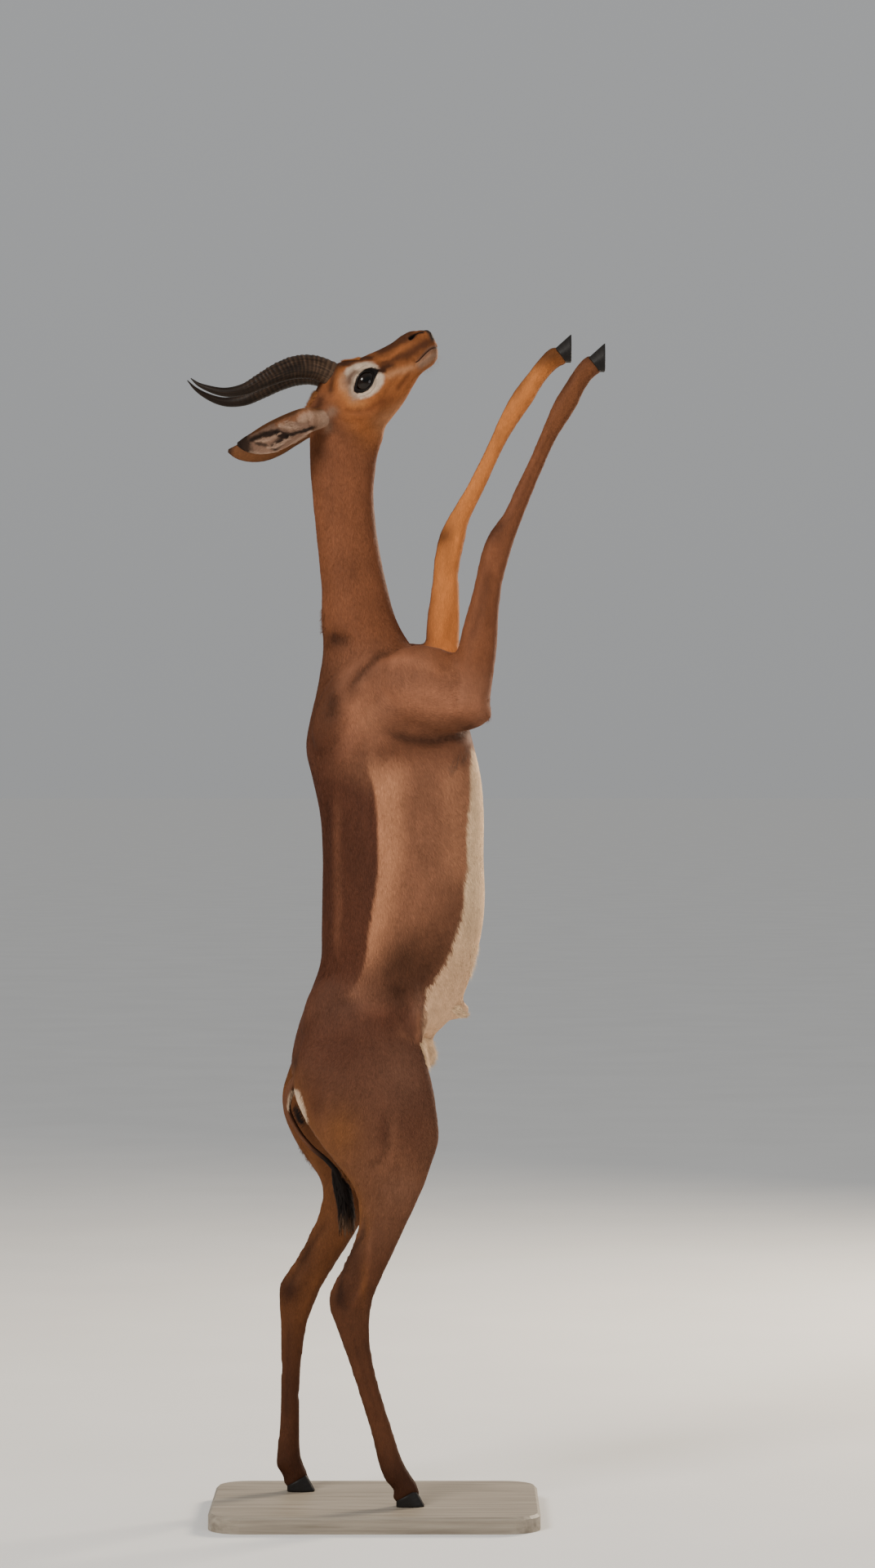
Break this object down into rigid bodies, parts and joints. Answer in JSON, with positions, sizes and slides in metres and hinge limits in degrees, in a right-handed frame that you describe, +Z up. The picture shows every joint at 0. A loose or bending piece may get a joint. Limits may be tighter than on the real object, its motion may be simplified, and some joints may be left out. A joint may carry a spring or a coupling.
{
  "type": "gerenuk",
  "caption": "Life-size still model of a male gerenuk reared upright on its hind legs, forelegs lifted, with a long neck and ringed horns, on a flat display base.",
  "frame": {"origin": "middle of the underside of the display base, where it rests on the floor", "axes": "+Z up through the animal, +X the way its belly and muzzle face, +Y to the animal's left"},
  "size_m": [0.7683, 0.42, 2.1785],
  "materials": {
    "coat": "short chestnut and buff hair, white on the belly and round the eyes",
    "horn": "dark ringed horn, smoother towards the tip",
    "hoof": "dark grey horn, lightly worn",
    "eye": "wet dark brown",
    "black_hair": "black tail hair",
    "display_base": "sealed matt board with a small chamfer"
  },
  "bodies": {
    "root": {"ear_left": "coat", "ear_right": "coat", "eye_left": "eye", "eye_right": "eye", "foreleg_left": "coat", "foreleg_right": "coat", "head": "coat", "hindleg_left": "coat", "hindleg_right": "coat", "hoof_fore_left_inner": "hoof", "hoof_fore_left_outer": "hoof", "hoof_fore_right_inner": "hoof", "hoof_fore_right_outer": "hoof", "hoof_hind_left_inner": "hoof", "hoof_hind_left_outer": "hoof", "hoof_hind_right_inner": "hoof", "hoof_hind_right_outer": "hoof", "horn_left": "horn", "horn_right": "horn", "neck": "coat", "stand_base": "display_base", "tail": "black_hair", "torso": "coat"}
  },
  "joints": []
}
